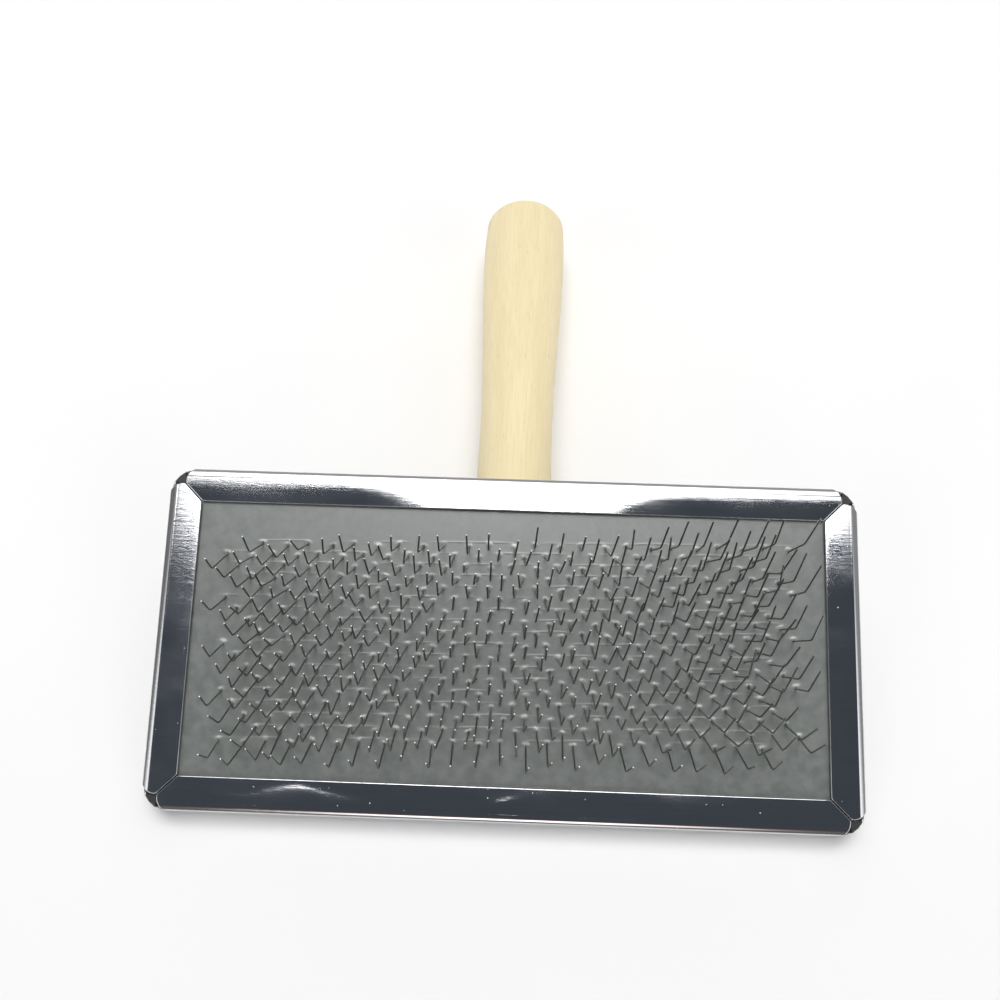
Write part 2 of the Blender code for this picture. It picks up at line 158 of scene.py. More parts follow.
# a pin's shape in the cloth's middle, on its left, on its right and along its front
PIN_LEAN = (-0.00225, -0.00270, -0.00055, -0.00310)    # towards the front, up to the knee
PIN_BACK = (0.00165, 0.00140, 0.00330, 0.00150)        # back from the knee to the tip
PIN_KNEE = (0.0082, 0.0076, 0.0088, 0.0071)            # heights above the rubber's face
PIN_TIP = (0.0142, 0.0124, 0.0165, 0.0128)
TIP_INWARD = (0.00035, 0.00005)    # towards +x, in the middle and on the left

FLOOR_HALF = 1.5
CAMERA_PLACE = (0.00115, -0.12255, 0.17163)
CAMERA_ANGLES = (34.51, -0.18, 2.12)
CEILING_GLOW = 7.4            # brightness of the soft light overhead
WALL_FRONT = 1.45             # of the room's walls, on the slant in front and behind
WALL_BACK = 0.45
WALL_LEFT = 0.22              # straight to the left, to the right and ahead
WALL_RIGHT = 0.34
WALL_LOW = 0.75               # of all the walls close to the floor
WALL_AHEAD = 0.16
PATCH_GLOW = 0.080            # where a person stands
PATCH_TOP = (math.radians(6.6), math.radians(6.0))         # where the patch fades in
PATCH_BOTTOM = (math.radians(-44.0), math.radians(-32.0))
PATCH_SIDES = (math.radians(33.0), math.radians(27.0))
PATCH_SPREAD = math.radians(3.3)    # how much the patch's top rises to the sides
PATCH_RIGHT = math.radians(-0.3)    # and what is added to that on the right
SPREAD_OVER = (math.radians(1.5), math.radians(10.0))    # both set in over these angles
CEILING_SIDES = (math.radians(22.0), math.radians(4.0))    # where the light overhead fades in
CEILING_BACK = (math.radians(50.0), math.radians(30.0))
CEILING_FRONT = (math.radians(-50.0), math.radians(-30.0))
CEILING_WIDENS = (math.radians(12.0), math.radians(42.0))  # it grows wider from here to here
CEILING_NARROWED = 0.5        # by counting the angle to the side this much


# ---- helpers ------------------------------------------------------------------------
def smoothstep(low, high, value):
    part = min(1.0, max(0.0, (value - low) / (high - low)))
    return part * part * (3 - 2 * part)


def mix(a, b, part):
    return a + (b - a) * part


def arc(centre, radius, start, end, steps):
    angles = [start + (end - start) * i / steps for i in range(steps + 1)]
    return [
        (centre[0] + radius * math.cos(a), centre[1] + radius * math.sin(a)) for a in angles
    ]


def add_piece(name, mesh, matrix, materials, replaced=()):
    """Show a mesh as a piece of the object that rides on its one body."""
    piece = bpy.data.objects.new(name, mesh)
    bpy.context.scene.collection.objects.link(piece)
    piece.matrix_world = matrix
    for material in materials:
        mesh.materials.append(material)
    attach(piece, "root")
    if replaced:
        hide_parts(*replaced)
    return piece


def mesh_from(form, name, sharp=math.radians(35.0)):
    """A smooth-shaded mesh from a bmesh, sharp where its faces meet at more than an angle."""
    mesh = bpy.data.meshes.new(name)
    form.to_mesh(mesh)
    form.free()
    mesh.shade_smooth()
    mesh.set_sharp_from_angle(angle=sharp)
    return mesh


def apply_modifiers(piece):
    """Replace a piece's mesh by the one its modifiers make."""
    graph = bpy.context.evaluated_depsgraph_get()
    mesh = bpy.data.meshes.new_from_object(piece.evaluated_get(graph))
    piece.modifiers.clear()
    piece.data = mesh
    return piece


# ---- frames -------------------------------------------------------------------------
def head_matrix():
    """The head rests on its lower front fold, against the front of the shell's box."""
    low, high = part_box("steel_shell")
    half = HEAD_DEPTH / 2
    tilt_sin, tilt_cos = math.sin(HEAD_TILT), math.cos(HEAD_TILT)
    front = (half - UPPER_FOLD) * tilt_cos + (HEAD_HEIGHT - UPPER_FOLD) * tilt_sin + UPPER_FOLD
    rise = LOWER_FOLD + (half - LOWER_FOLD) * tilt_sin - LOWER_FOLD * tilt_cos
    place = Vector(((low[0] + high[0]) / 2, low[1] + front, low[2] + rise))
    return Matrix.Translation(place) @ Matrix.Rotation(HEAD_TILT, 4, "X")


def handle_outline(cap_steps, taper_steps, front_steps):
    """The handle's outline as (radius, distance from its end), from the front to the end."""
    front_centre = (NECK_RADIUS - FRONT_ROUND, HANDLE_LENGTH - FRONT_ROUND)
    front = arc(front_centre, FRONT_ROUND, math.pi / 2, 0.0, front_steps)
    taper = []
    for step in range(taper_steps + 1):
        part = step / taper_steps
        radius = mix(NECK_RADIUS, END_RADIUS, smoothstep(0.0, 1.0, part))
        taper.append((radius, mix(NECK_AT, TAPER_START, part)))
    cap_edge = END_RADIUS - SHOULDER
    ball = (cap_edge ** 2 + CAP_HEIGHT ** 2) / (2 * CAP_HEIGHT)
    widest = math.asin(cap_edge / ball)
    cap = []
    for step in range(cap_steps, 0, -1):
        angle = widest * step / cap_steps
        cap.append((ball * math.sin(angle), ball * (1 - math.cos(angle))))
    shoulder = (END_RADIUS - SHOULDER / 4, CAP_HEIGHT + SHOULDER)
    return [*front, *taper, shoulder, *cap]


def handle_matrix():
    """The handle lies on its fat end, which reaches the back of the handle's box."""
    low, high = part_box("handle")
    outline = handle_outline(6, 8, 3)
    drop_sin, drop_cos = math.sin(HANDLE_DROP), math.cos(HANDLE_DROP)
    lowest = min(along * drop_sin - radius * drop_cos for radius, along in outline)
    furthest = max(radius * drop_sin - along * drop_cos for radius, along in outline)
    place = Vector((HANDLE_END_X, high[1] - furthest, low[2] - lowest))
    turn = Matrix.Rotation(-HANDLE_TURN, 4, "Z")
    return Matrix.Translation(place) @ turn @ Matrix.Rotation(math.pi / 2 - HANDLE_DROP, 4, "X")


HEAD = head_matrix()
HANDLE = handle_matrix()
CLOTH = Matrix.Translation(CLOTH_CENTRE) @ Matrix.Rotation(CLOTH_TWIST, 4, "Z")


# ---- shader building ----------------------------------------------------------------
def node(tree, kind, inputs=None, **settings):
    """Add a node. An input is given as a value or as another node's output."""
    made = tree.nodes.new(kind)
    for name, value in settings.items():
        setattr(made, name, value)
    for key, value in (inputs or {}).items():
        socket = made.inputs[key]
        if isinstance(value, bpy.types.NodeSocket):
            tree.links.new(value, socket)
        else:
            socket.default_value = value
    return made


def calc(tree, operation, a, b=0.0):
    return node(tree, "ShaderNodeMath", {0: a, 1: b}, operation=operation).outputs[0]


def fade(tree, value, low, high, start=0.0, end=1.0):
    """A smooth step from start to end as value goes from low to high."""
    made = node(
        tree, "ShaderNodeMapRange",
        {"Value": value, "From Min": low, "From Max": high, "To Min": start, "To Max": end},
        interpolation_type="SMOOTHSTEP",
    )
    return made.outputs["Result"]


def blend(tree, part, a, b, how="MIX"):
    """Mix two colours."""
    made = node(tree, "ShaderNodeMix", data_type="RGBA", blend_type=how, clamp_factor=True)
    for key, value in ((0, part), (6, a), (7, b)):
        if isinstance(value, bpy.types.NodeSocket):
            tree.links.new(value, made.inputs[key])
        else:
            made.inputs[key].default_value = value
    return made.outputs[2]


def noise(tree, where, size, detail=3.0, roughness=0.5, stretch=(1.0, 1.0, 1.0), seed=0.0):
    """Noise whose features are about size across, or size times stretch along each axis."""
    scale = tuple(1.0 / (size * s) for s in stretch)
    placed = node(
        tree, "ShaderNodeMapping",
        {"Vector": where, "Scale": scale, "Location": (seed, seed * 1.7, seed * 2.3)},
    )
    made = node(
        tree, "ShaderNodeTexNoise",
        {"Vector": placed.outputs[0], "Scale": 1.0, "Detail": detail, "Roughness": roughness},
    )
    return made.outputs["Fac"]


def bump(tree, height, distance, strength=1.0, normal=None):
    inputs = {"Height": height, "Distance": distance, "Strength": strength}
    if normal is not None:
        inputs["Normal"] = normal
    return node(tree, "ShaderNodeBump", inputs).outputs[0]


def new_material(name):
    """A material with its tree, its Principled shader and its object coordinates."""
    material = bpy.data.materials.new(name)
    material.use_nodes = True
    tree = material.node_tree
    shader = tree.nodes["Principled BSDF"]
    where = node(tree, "ShaderNodeTexCoord").outputs["Object"]
    return material, tree, shader, where


def plug(tree, shader, **inputs):
    """Set or link the shader's inputs, written with underscores for spaces."""
    for key, value in inputs.items():
        socket = shader.inputs[key.replace("_", " ")]
        if isinstance(value, bpy.types.NodeSocket):
            tree.links.new(value, socket)
        else:
            socket.default_value = value


def grey(value, alpha=1.0):
    return (value, value, value, alpha)


# ---- materials ----------------------------------------------------------------------
def brushed_steel():
    """Stainless sheet, finely brushed along x, dusty, and scuffed more and more to the left."""
    material, tree, shader, where = new_material("brushed_steel")
    fine = noise(tree, where, 0.00007, 2.0, 0.6, stretch=(90.0, 1.0, 1.0))
    broad = noise(tree, where, 0.0005, 2.0, 0.5, stretch=(50.0, 1.0, 1.0), seed=3.0)
    smear = noise(tree, where, 0.006, 3.0, 0.55, stretch=(2.0, 1.0, 1.0), seed=7.0)
    dust = node(
        tree, "ShaderNodeTexVoronoi", {"Vector": where, "Scale": 900.0, "Randomness": 1.0},
    ).outputs["Distance"]
    rare = noise(tree, where, 0.0016, 2.0, 0.5, seed=11.0)
    speck = calc(tree, "MULTIPLY", fade(tree, dust, 0.10, 0.05), fade(tree, rare, 0.56, 0.62))
    lines = calc(tree, "ADD", calc(tree, "MULTIPLY", fine, 0.6), calc(tree, "MULTIPLY", broad, 0.4))
    tone = blend(tree, lines, (0.56, 0.565, 0.58, 1.0), (0.70, 0.705, 0.72, 1.0))
    tone = blend(tree, speck, tone, grey(0.85))
    along = node(tree, "ShaderNodeSeparateXYZ", {0: where}).outputs["X"]
    worn = fade(tree, along, -0.010, -0.055, 0.10, 1.0)
    scuffs = noise(tree, where, 0.0005, 5.0, 0.7, stretch=(3.0, 1.0, 1.0), seed=17.0)
    scuffs = calc(tree, "MULTIPLY", scuffs, worn)
    rough = fade(tree, smear, 0.3, 0.75, 0.035, 0.09)
    rough = calc(tree, "ADD", rough, calc(tree, "MULTIPLY", worn, 0.04))
    rough = calc(tree, "MAXIMUM", rough, calc(tree, "MULTIPLY", speck, 0.6))
    brushed = bump(tree, fine, 0.0000018)
    brushed = bump(tree, broad, 0.000003, normal=brushed)
    brushed = bump(tree, scuffs, 0.000011, normal=brushed)
    plug(tree, shader, Base_Color=tone, Roughness=rough, Normal=brushed, Metallic=1.0)
    return material


def pin_wire():
    """Drawn steel wire, a little dull, with draw marks. Its tones, far darker than steel's, are
    painted shade for the dark surroundings that the wire mirrors.
    """
    material, tree, shader, where = new_material("pin_wire")
    marks = noise(tree, where, 0.00012, 2.0, 0.5, stretch=(1.0, 1.0, 6.0))
    # dark tones: painted shade for the dark surroundings the wire mirrors
    tone = blend(tree, marks, (0.15, 0.15, 0.14, 1.0), (0.27, 0.27, 0.25, 1.0))
    rough = fade(tree, marks, 0.2, 0.8, 0.28, 0.45)
    plug(tree, shader, Base_Color=tone, Roughness=rough, Metallic=1.0)
    plug(tree, shader, Normal=bump(tree, marks, 0.000004))
    return material


def painted_tip_glint():
    """The cut end of a pin, in steel far paler than the wire's: a painted glint, for the light that
    the cut ends catch.
    """
    material, tree, shader, where = new_material("painted_tip_glint")
    marks = noise(tree, where, 0.00006, 2.0, 0.5)
    # pale tones: painted glint on the cut end
    tone = blend(tree, marks, grey(0.70), grey(0.90))
    rough = fade(tree, marks, 0.2, 0.8, 0.35, 0.55)
    plug(tree, shader, Base_Color=tone, Roughness=rough, Metallic=1.0)
    return material


def grey_rubber():
    """Grey rubber, paler where it is stretched along the rows, and paler beside the wires where it
    is stretched white and where painted glints lie.
    """
    material, tree, shader, where = new_material("grey_rubber")
    whitening_and_glint = node(tree, "ShaderNodeAttribute", attribute_name="whitening_and_glint").outputs["Fac"]
    stretch = node(tree, "ShaderNodeAttribute", attribute_name="stretch").outputs["Fac"]
    mottle = noise(tree, where, 0.0018, 5.0, 0.6)
    grain = noise(tree, where, 0.00014, 3.0, 0.6, seed=5.0)
    wisps = noise(tree, where, 0.0004, 3.0, 0.6, seed=9.0)
    mottle = fade(tree, mottle, 0.3, 0.7)
    tone = blend(tree, mottle, (0.118, 0.130, 0.121, 1.0), (0.158, 0.171, 0.161, 1.0))
    tone = blend(tree, fade(tree, grain, 0.62, 0.75, 0.0, 0.5), tone, (0.07, 0.075, 0.07, 1.0))
    # pale marks behind the wires: stretch whitening and painted glints
    pale = calc(tree, "MULTIPLY", whitening_and_glint, fade(tree, wisps, 0.30, 0.65, 0.35, 1.0))
    tone = blend(tree, pale, tone, (0.86, 0.88, 0.85, 1.0))
    tone = blend(tree, calc(tree, "MULTIPLY", stretch, 0.30), tone, (0.50, 0.52, 0.50, 1.0))
    rough = fade(tree, mottle, 0.0, 1.0, 0.30, 0.38)
    plug(tree, shader, Base_Color=tone, Roughness=rough, Specular_IOR_Level=0.85)
    plug(tree, shader, Normal=bump(tree, grain, 0.000010))
    return material


def pale_wood():
    """Pale close-grained hardwood, sanded smooth, with the grain along z."""
    material, tree, shader, where = new_material("pale_wood")
    figure = noise(tree, where, 0.0030, 3.0, 0.5, stretch=(1.0, 1.0, 14.0))
    fibre = noise(tree, where, 0.00035, 4.0, 0.6, stretch=(1.0, 1.0, 30.0), seed=4.0)
    pores = noise(tree, where, 0.00022, 2.0, 0.5, stretch=(1.0, 1.0, 14.0), seed=8.0)
    tone = blend(tree, figure, (0.84, 0.69, 0.40, 1.0), (0.93, 0.83, 0.545, 1.0))
    tone = blend(tree, fade(tree, fibre, 0.35, 0.70, 0.0, 0.35), tone, (0.75, 0.61, 0.35, 1.0))
    tone = blend(tree, fade(tree, pores, 0.66, 0.76, 0.0, 0.5), tone, (0.60, 0.45, 0.24, 1.0))
    rough = fade(tree, figure, 0.3, 0.7, 0.42, 0.55)
    normal = bump(tree, fibre, 0.000012)
    normal = bump(tree, pores, 0.000008, normal=normal)
    plug(tree, shader, Base_Color=tone, Roughness=rough, Normal=normal, Specular_IOR_Level=0.4)
    return material


def black_board():
    """Dense board, coloured near-black, faintly fibrous; it is what shows in the dark gaps at the
    corners.
    """
    material, tree, shader, where = new_material("black_board")
    fibre = noise(tree, where, 0.0003, 4.0, 0.6, stretch=(4.0, 1.0, 1.0))
    tone = blend(tree, fibre, grey(0.012), grey(0.030))
    rough = fade(tree, fibre, 0.3, 0.7, 0.38, 0.60)
    plug(tree, shader, Base_Color=tone, Roughness=rough, Normal=bump(tree, fibre, 0.00003))
    return material


def cotton_cloth():
    """Plain-woven cotton, the card clothing's foundation."""
    material, tree, shader, where = new_material("cotton_cloth")
    placed = node(tree, "ShaderNodeMapping", {"Vector": where, "Scale": (2200.0, 2200.0, 2200.0)})
    warp = node(tree, "ShaderNodeTexWave", {"Vector": placed.outputs[0], "Scale": 1.0},
                bands_direction="X").outputs["Fac"]
    weft = node(tree, "ShaderNodeTexWave", {"Vector": placed.outputs[0], "Scale": 1.0},
                bands_direction="Y").outputs["Fac"]
    weave = calc(tree, "MULTIPLY", warp, weft)
    slub = noise(tree, where, 0.0012, 3.0, 0.6)
    tone = blend(tree, weave, (0.36, 0.33, 0.26, 1.0), (0.62, 0.58, 0.48, 1.0))
    tone = blend(tree, fade(tree, slub, 0.5, 0.8, 0.0, 0.4), tone, (0.70, 0.66, 0.55, 1.0))
    rough = fade(tree, weave, 0.0, 1.0, 0.95, 0.80)
    plug(tree, shader, Base_Color=tone, Roughness=rough, Normal=bump(tree, weave, 0.00005))
    return material


def zinc_plate():
    """Zinc-plated steel, as on the wood screws."""
    material, tree, shader, where = new_material("zinc_plate")
    patina = noise(tree, where, 0.0008, 4.0, 0.6)
    tone = blend(tree, patina, (0.44, 0.43, 0.40, 1.0), (0.62, 0.61, 0.57, 1.0))
    rough = fade(tree, patina, 0.3, 0.7, 0.28, 0.48)
    plug(tree, shader, Base_Color=tone, Roughness=rough, Metallic=1.0)
    plug(tree, shader, Normal=bump(tree, patina, 0.00001))
    return material


def white_floor():
    material, tree, shader, where = new_material("white_floor")
    cloud = noise(tree, where, 0.05, 2.0, 0.5)
    # darker towards the front: painted shade, for the light that falls off towards the camera's
    # side
    front = fade(tree, node(tree, "ShaderNodeSeparateXYZ", {0: where}).outputs["Y"], -0.12, 0.0)
    tone = blend(tree, cloud, grey(0.91), grey(0.93))
    tone = blend(tree, front, blend(tree, 0.5, tone, grey(0.82)), tone)
    plug(tree, shader, Base_Color=tone, Roughness=0.9, Specular_IOR_Level=0.1)
    return material


# ---- steel shell --------------------------------------------------------------------
def flange_reach(inward):
    """How far a flange's end runs past the opening's corner, at a distance from its inner edge."""
    across = min(1.0, abs(inward - END_CENTRE_IN) / END_HALF_IN)
    rounded = END_CENTRE_OUT + END_HALF_OUT * math.sqrt(1.0 - across * across)
    if inward < END_CENTRE_IN:
        return min(inward - MITRE_GAP, rounded)
    return rounded


def fold_profile():
    """A side's section, as (inset from the outer face, height, end's distance from the corner,
    share of the flange's sag), from the back plate to the flange's inner edge."""
    points = []
    lower = arc((LOWER_FOLD, LOWER_FOLD), LOWER_FOLD, 1.5 * math.pi, math.pi, FOLD_STEPS)
    for inset, height in lower:
        points.append((inset, height, FLANGE - WALL_END, 0.0))
    tight = arc((BEND, HEAD_HEIGHT - BAND_DROP - BEND), BEND, math.pi,
                math.pi / 2 + BAND_TILT, FOLD_STEPS)
    for inset, height in tight:
        points.append((inset, height, FLANGE - flange_reach(FLANGE - inset), 0.0))
    start, rise = tight[-1]
    for step in range(1, BAND_STEPS + 1):
        part = step / BAND_STEPS
        inset = mix(start, CREASE_INSET, part)
        ease = 1.0 - (1.0 - part) ** 2
        height = mix(rise, HEAD_HEIGHT, ease)
        points.append((inset, height, FLANGE - flange_reach(FLANGE - inset), 0.0))
    for step in range(1, FLANGE_STEPS + 1):
        part = (step / FLANGE_STEPS) ** 1.6
        inset = mix(CREASE_INSET, FLANGE, part)
        groove = CREASE_DEPTH * math.exp(-((inset - CREASE_INSET) / CREASE_HALF - 1.0) ** 2)
        points.append((
            inset, HEAD_HEIGHT - groove, FLANGE - flange_reach(FLANGE - inset), part * part
        ))
    return points


def flange_sag(turn, place):
    """A flange's sag at its inner edge. The handle side's flange springs up in its middle,
    and the front one is pressed down in one place."""
    if turn == 0:
        # along runs towards -x on this side
        off_middle = abs(place + SPRUNG_OFFSET)
        sprung = smoothstep(-SPRUNG_FAR, -SPRUNG_NEAR, -off_middle)
        ends = mix(RIGHT_END_SAG, 1.0, smoothstep(-0.01, 0.01, place))
        return FLANGE_SAG * mix(ends, SPRUNG_SAG, sprung)
    if turn == 2:
        pressed = math.exp(-((place - PRESSED_AT) / PRESSED_REACH) ** 2)
        return FLANGE_SAG * (FRONT_SAG + PRESSED_SAG * pressed)
    return FLANGE_SAG


def flange_dent(turn, place, inset):
    """How far the front flange is pushed in where it has been pressed, along its middle."""
    if turn != 2:
        return 0.0
    middle = DENT_INSET + DENT_WANDER * math.sin(place / DENT_WANDER_LENGTH)
    across = math.exp(-((inset - middle) / DENT_HALF) ** 2)
    deep = 0.0
    for centre, reach, share in DENTS:
        deep += share * math.exp(-((place - centre) / reach) ** 4)
    return DENT_DEPTH * deep * across


def make_side(form, turn, profile):
    """One folded side. Turn 0 is the handle's side; the rest follow anticlockwise seen from
    the pins. Returns the line of vertices that it shares with the back plate."""
    half = (HEAD_WIDTH / 2, HEAD_DEPTH / 2)
    out_half, along_half = (half[1], half[0]) if turn % 2 == 0 else (half[0], half[1])
    outward = Vector((-math.sin(turn * math.pi / 2), math.cos(turn * math.pi / 2), 0.0))
    along = Vector((-outward.y, outward.x, 0.0))
    lines = []
    for inset, height, short, sag in profile:
        line = []
        for station in range(SIDE_STATIONS + 1):
            place = (along_half - short) * (2 * station / SIDE_STATIONS - 1)
            rise = height - sag * flange_sag(turn, place)
            rise -= flange_dent(turn, place, inset)
            line.append(form.verts.new(
                outward * (out_half - inset) + along * place + Vector((0.0, 0.0, rise))
            ))
        if lines:
            last = lines[-1]
            for i in range(SIDE_STATIONS):
                form.faces.new((last[i + 1], last[i], line[i], line[i + 1]))
        lines.append(line)
    return lines[0]


def make_back(form, rims):
    """The back plate: one face between the four sides, with round corners."""
    outline = []
    corner = FLANGE - WALL_END - LOWER_FOLD
    across = HEAD_WIDTH / 2 - LOWER_FOLD - corner
    down = HEAD_DEPTH / 2 - LOWER_FOLD - corner
    for turn, line in enumerate(rims):
        outline.extend(line)
        centre = (across * (-1 if turn in (0, 1) else 1), down * (1 if turn in (0, 3) else -1))
        start = math.pi / 2 * (turn + 1)
        for x, y in arc(centre, corner, start, start + math.pi / 2, FOLD_STEPS)[1:-1]:
            outline.append(form.verts.new((x, y, 0.0)))
    form.faces.new(outline)


def make_shell(steel):
    """The folded sheet, given its thickness and rounded along its cut edges."""
    form = bmesh.new()
    profile = fold_profile()
    make_back(form, [make_side(form, turn, profile) for turn in range(4)])
    bmesh.ops.recalc_face_normals(form, faces=form.faces)
    mesh = mesh_from(form, "folded_shell")
    shell = add_piece("folded_shell", mesh, HEAD, [steel], ["steel_shell"])
    sheet = shell.modifiers.new("sheet", "SOLIDIFY")
    sheet.thickness = SHEET
    sheet.offset = -1.0
    sheet.use_even_offset = True
    edge = shell.modifiers.new("edge", "BEVEL")
    edge.width = EDGE_BEVEL
    edge.segments = 4
    edge.use_clamp_overlap = False
    edge.limit_method = "ANGLE"
    edge.angle_limit = math.radians(50.0)
    edge.harden_normals = True
    return apply_modifiers(shell)


# ---- card clothing ------------------------------------------------------------------
def staple_feet():
    """For each row, the feet of its staples where they leave the rubber, in the head frame."""
    span = (STAGGER_ROWS - 1) * ROW_STAGGER + (STAPLES_PER_ROW - 1) * STAPLE_PITCH + STAPLE_WIDTH
    half = (ROWS - 1) / 2
    rows = []
    for row in range(ROWS):
        down = (row - half) / half
        shift = ((row + STAGGER_ROWS - 1) % STAGGER_ROWS) * ROW_STAGGER + ROW_DRIFT * down
        y = (half - row) * ROW_PITCH + ROW_BOW * (1 - down * down)
        pairs = []
        for staple in range(STAPLES_PER_ROW):
            left = shift + staple * STAPLE_PITCH - span / 2
            pairs.append((
                CLOTH @ Vector((left, y + LEG_SKEW / 2, RUBBER_TOP)),
                CLOTH @ Vector((left + STAPLE_WIDTH, y - LEG_SKEW / 2, RUBBER_TOP)),
            ))
        rows.append(pairs)
    return rows


def pin_bends(foot, draw):
    """A pin's knee and tip above its foot, by where it stands and by chance.

    The pins lean towards the front up to the knee and back towards the handle above it. On
    the right they have sprung more upright, and along the front they are pushed flatter.
    """
    side = foot.x / (HEAD_WIDTH / 2)
    depth = foot.y / (HEAD_DEPTH / 2)
    right = smoothstep(-0.05, 0.75, side) * smoothstep(-0.62, -0.15, depth)
    left = smoothstep(0.2, 0.8, -side)
    front = smoothstep(0.42, 0.60, -depth)
    lean, back, knee, tip = (
        mix(mix(mix(middle, at_left, left), at_right, right), at_front, front)
        for middle, at_left, at_right, at_front in (PIN_LEAN, PIN_BACK, PIN_KNEE, PIN_TIP)
    )
    inward = mix(TIP_INWARD[0], TIP_INWARD[1], left) * (1.0 - right)
    lean += draw.gauss(0.0, 0.00035)
    back += draw.gauss(0.0, 0.00035)
    knee += draw.gauss(0.0, 0.00045)
    tip += draw.gauss(0.0, 0.00055)
    swing = draw.gauss(0.0, 0.00022)
    turn = draw.gauss(0.0, 0.00025)
    return (
        foot + Vector((swing, lean, knee)),
        foot + Vector((swing + turn + inward, lean + back, tip)),
    )


def rounded_path(corners, reaches, steps):
    """Points along straight legs whose inner corners are rounded, starting reach from each."""
    path = [corners[0]]
    for before, corner, after, reach in zip(corners, corners[1:], corners[2:], reaches):
        start = corner + (before - corner).normalized() * reach
        end = corner + (after - corner).normalized() * reach
        for step in range(steps + 1):
            part = step / steps
            path.append(
                start * (1 - part) ** 2 + corner * (2 * part * (1 - part)) + end * part ** 2
            )
    path.append(corners[-1])
    return path


def with_ends(path, radius):
    """A path and its radii with points added so that both ends are cut flat and eased."""
    first = (path[1] - path[0]).normalized()
    last = (path[-2] - path[-1]).normalized()
    head = [(path[0] + first * radius * at, radius * share) for at, share in END_EASE]
    tail = [(path[-1] + last * radius * at, radius * share) for at, share in reversed(END_EASE)]
    middle = [(point, radius) for point in path[1:-1]]
    middle.insert(0, (path[0] + first * END_STRAIGHT, radius))
    middle.append((path[-1] + last * END_STRAIGHT, radius))
    return head + middle + tail


def sweep(form, stations, end_steps):
    """A round wire through the stations, with the painted glint's material for end_steps steps at
    each end.
    """
    rings = []
    across = None
    for i, (point, radius) in enumerate(stations):
        before = stations[max(0, i - 1)][0]
        after = stations[min(len(stations) - 1, i + 1)][0]
        tangent = (after - before).normalized()
        if across is None:
            across = tangent.orthogonal()
        across = (across - tangent * across.dot(tangent)).normalized()
        up = tangent.cross(across)
        ring = []
        for side in range(WIRE_SIDES):
            angle = 2 * math.pi * side / WIRE_SIDES
            place = point + (across * math.cos(angle) + up * math.sin(angle)) * radius
            ring.append(form.verts.new(place))
        rings.append(ring)
    last = len(rings) - 1
    for i in range(last):
        # steps at either end take the painted glint's material
        glint_step = i < end_steps or i >= last - end_steps
        for side in range(WIRE_SIDES):
            other = (side + 1) % WIRE_SIDES
            face = form.faces.new(
                (rings[i][side], rings[i][other], rings[i + 1][other], rings[i + 1][side])
            )
            face.material_index = 1 if glint_step else 0
    for ring in (rings[0][::-1], rings[-1]):
        form.faces.new(ring).material_index = 1 if end_steps else 0


def make_pins(rows, wire, tip):
    """Each row's staples: a crown behind the cloth and two legs, each bent at a knee."""
    draw = random.Random(18)
    crown_z = CROWN_BOTTOM + CROWN_SIZE / 2
    for number, pairs in enumerate(rows, 1):
        form = bmesh.new()
        for feet in pairs:
            legs = []
            for foot in feet:
                knee, end = pin_bends(foot, draw)
                slope = (knee - foot) / (knee.z - foot.z)
                crown = foot + slope * (crown_z - foot.z)
                legs.append((end, knee, crown))
            corners = [*legs[0], *reversed(legs[1])]
            knee_reach = draw.uniform(*KNEE_REACH)
            reaches = (knee_reach, CROWN_REACH, CROWN_REACH, knee_reach)
            path = rounded_path(corners, reaches, BEND_STEPS)
            # more and more pins towards the right get no painted glint at their ends
            dull = draw.random() < smoothstep(-0.010, 0.030, feet[0].x)
            sweep(form, with_ends(path, WIRE_RADIUS), 0 if dull else GLINT_STEPS)
        name = f"bent_pins_{number:02d}"
        mesh = mesh_from(form, name, math.radians(60.0))
        add_piece(name, mesh, HEAD, [wire, tip], [f"pin_row_{number:02d}"])


